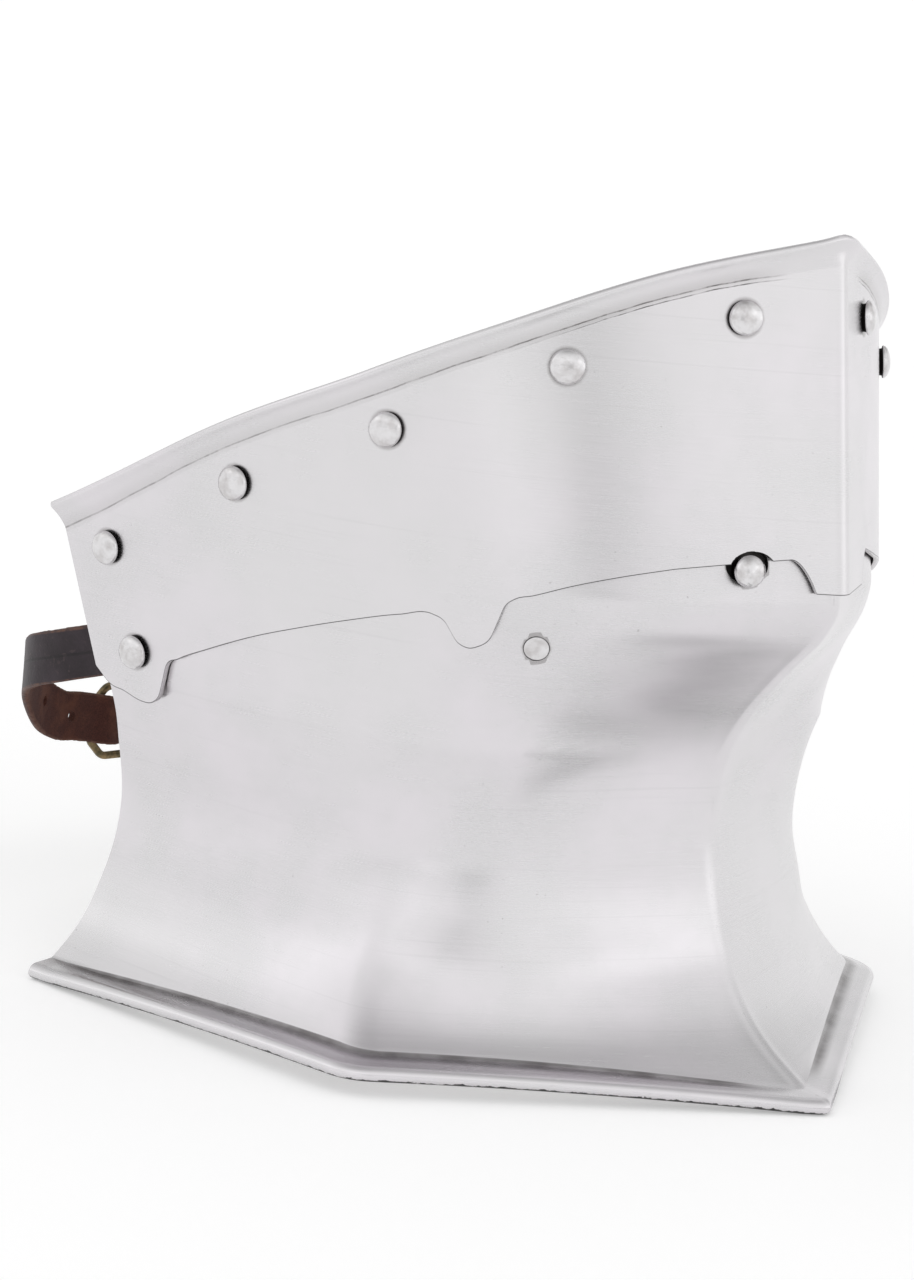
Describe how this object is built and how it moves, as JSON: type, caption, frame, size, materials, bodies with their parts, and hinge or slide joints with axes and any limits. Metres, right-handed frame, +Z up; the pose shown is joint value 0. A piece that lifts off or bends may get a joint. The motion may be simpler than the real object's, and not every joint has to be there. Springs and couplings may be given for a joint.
{
  "type": "steel gorget",
  "caption": "Brushed steel bevor with a falling chin plate over a flared neck plate, domed rivets, a spring catch and a leather neck strap with a brass buckle.",
  "frame": {"origin": "on the floor, under the middle of the bounding box of the gorget standing on its foot, strap included", "axes": "+Z up, -Y the way the wearer faces, +X the wearer's left"},
  "size_m": [0.2546, 0.2906, 0.2494],
  "materials": {
    "plate_steel": "fine brushed, semi-bright",
    "rivet_steel": "polished domes",
    "spring_steel": "dull, unpolished",
    "strap_leather": "black grain outside, red-brown flesh inside",
    "buckle_brass": "aged, semi-matt"
  },
  "bodies": {
    "neck": {"neck_plate": "plate_steel", "catch_rivet": "rivet_steel", "hole_strap": "strap_leather", "buckle_strap": "strap_leather", "buckle_frame": "buckle_brass", "buckle_tongue": "buckle_brass"},
    "chin": {"chin_plate": "plate_steel", "rim_rivet_left_1": "rivet_steel", "rim_rivet_left_2": "rivet_steel", "rim_rivet_left_3": "rivet_steel", "rim_rivet_left_4": "rivet_steel", "rim_rivet_left_5": "rivet_steel", "rim_rivet_right_1": "rivet_steel", "rim_rivet_right_2": "rivet_steel", "rim_rivet_right_3": "rivet_steel", "rim_rivet_right_4": "rivet_steel", "rim_rivet_right_5": "rivet_steel", "pivot_rivet_left": "rivet_steel", "pivot_rivet_right": "rivet_steel"},
    "catch": {"catch_spring": "spring_steel", "catch_stud": "rivet_steel"}
  },
  "joints": [
    {"name": "chin plate fall", "type": "hinge", "parent": "neck", "child": "chin", "pos_m": [0, 0.0463, 0.1035], "axis": [1, 0, 0], "range_deg": [0, 22], "deforming": ["catch_spring", "catch_stud"]},
    {"name": "catch press", "type": "hinge", "parent": "neck", "child": "catch", "pos_m": [-0.0682, -0.0741, 0.1275], "axis": [-0.2995, 0.3214, 0.8983], "range_deg": [0, 5.5], "stiffness_Nm_per_rad": 3.8, "deforming": ["catch_spring"]}
  ]
}
